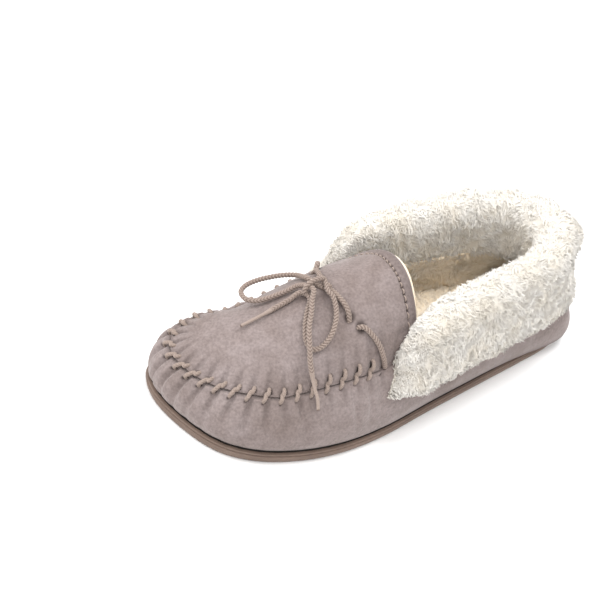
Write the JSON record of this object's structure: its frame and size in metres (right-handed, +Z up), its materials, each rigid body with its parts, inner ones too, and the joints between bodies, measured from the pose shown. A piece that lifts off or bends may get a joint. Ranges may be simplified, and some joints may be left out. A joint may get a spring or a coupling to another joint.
{
  "type": "house slipper",
  "caption": "Left moccasin house slipper in suede with a wool pile cuff and lining, a whip-stitched apron, a lace tied in a bow and a flat rubber sole.",
  "frame": {"origin": "on the flat underside of the sole, halfway along it", "axes": "+Z up, toe towards -Y, heel towards +Y, the wearer's outer side at +X"},
  "size_m": [0.1021, 0.2584, 0.0869],
  "materials": {
    "suede": "brushed taupe suede with a soft nap",
    "pile_cuff": "long cream wool pile",
    "pile_lining": "short wool pile, beige",
    "rubber_sole": "matt brown rubber",
    "eva_midsole": "matt black foam",
    "fibre_board": "pressed fibre board",
    "lace_cord": "round braided taupe cord"
  },
  "bodies": {
    "shoe": {"moccasin_wrap": "suede", "apron": "suede", "heel_tab": "suede", "fur_cuff": "pile_cuff", "footbed_fleece": "pile_lining", "toe_lining": "pile_lining", "quarter_lining": "pile_lining", "apron_lining": "pile_lining", "outsole": "rubber_sole", "midsole": "eva_midsole", "footbed_foam": "eva_midsole", "insole_board": "fibre_board", "heel_counter": "fibre_board", "whip_thread": "lace_cord", "collar_lace": "lace_cord", "bow_knot": "lace_cord", "lace_loop_left": "lace_cord", "lace_loop_right": "lace_cord", "lace_tail_left": "lace_cord", "lace_tail_right": "lace_cord", "lace_strand_near": "lace_cord", "lace_strand_far": "lace_cord", "lace_stitch_near": "lace_cord", "lace_stitch_far": "lace_cord", "lace_tip_left": "lace_cord", "lace_tip_right": "lace_cord"},
    "tongue": {"tongue": "suede", "tongue_lining": "pile_lining"}
  },
  "joints": [
    {"name": "tongue_lift", "type": "hinge", "parent": "shoe", "child": "tongue", "pos_m": [0.004, -0.026, 0.077], "axis": [1, 0, 0], "range_deg": [0, 20], "stiffness_Nm_per_rad": 0.02}
  ]
}
